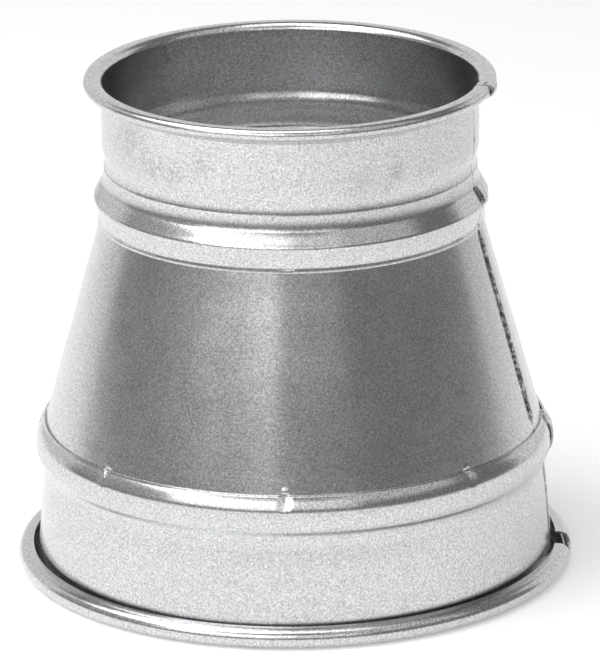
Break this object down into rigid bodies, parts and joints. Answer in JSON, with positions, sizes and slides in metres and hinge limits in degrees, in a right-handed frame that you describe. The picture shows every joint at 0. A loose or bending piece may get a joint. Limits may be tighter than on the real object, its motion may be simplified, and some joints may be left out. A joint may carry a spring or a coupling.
{
  "type": "duct reducer",
  "caption": "Concentric galvanised sheet-steel duct reducer with beaded collars, a tapered middle, a rolled lip at the small end and a curled lip at the large end.",
  "frame": {"origin": "centre of the large end's lip, in the plane that it stands on", "axes": "+Z along the duct axis towards the small end; the sheet seams lie towards +X; -Y faces the viewer of the picture"},
  "size_m": [0.1956, 0.1952, 0.1765],
  "materials": {
    "galvanised_sheet": "galvanised, fine satin grain"
  },
  "bodies": {
    "root": {"small_collar": "galvanised_sheet", "cone": "galvanised_sheet", "large_collar": "galvanised_sheet"}
  },
  "joints": []
}
